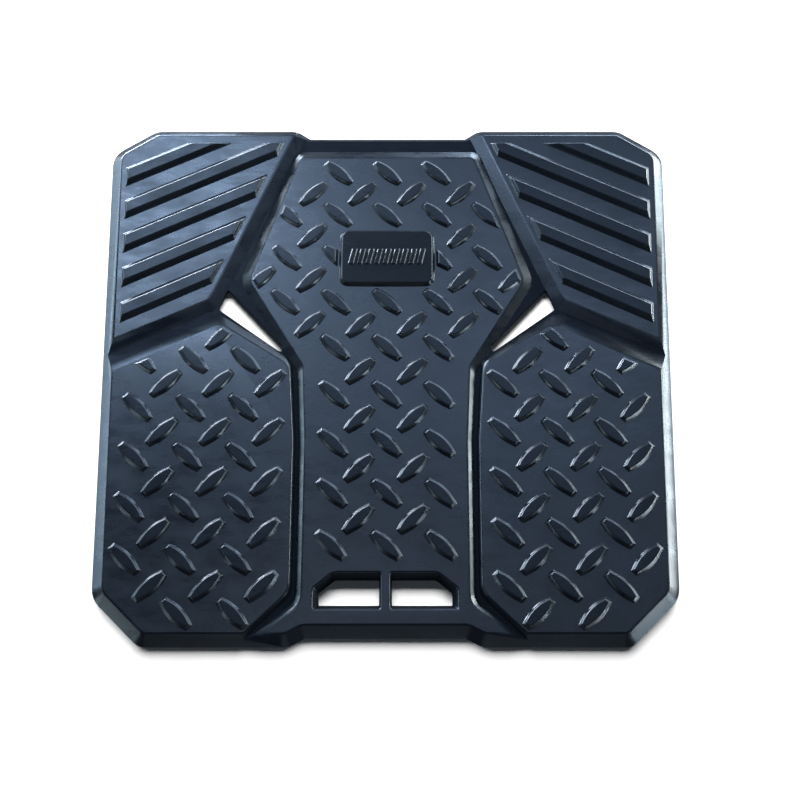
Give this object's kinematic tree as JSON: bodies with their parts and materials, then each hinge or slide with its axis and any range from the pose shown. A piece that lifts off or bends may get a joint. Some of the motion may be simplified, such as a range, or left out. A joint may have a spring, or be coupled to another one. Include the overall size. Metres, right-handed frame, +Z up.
{
  "type": "rubber foot mat",
  "caption": "Moulded rubber foot mat with raised chequer-plate panels, slanted ribs, a sloping edge, open windows and hand slots, and a raised badge plate.",
  "frame": {"origin": "centre of the footprint, on the underside, where the mat rests on the floor", "axes": "+Z up out of the tread, +Y towards the ribbed end, +X to the right when the ribbed end is the far one"},
  "size_m": [0.4568, 0.4396, 0.0108],
  "materials": {
    "rubber": "satin black moulded rubber",
    "badge": "smooth satin black"
  },
  "bodies": {
    "root": {"mat_body": "rubber", "badge_plate": "badge"}
  },
  "joints": []
}
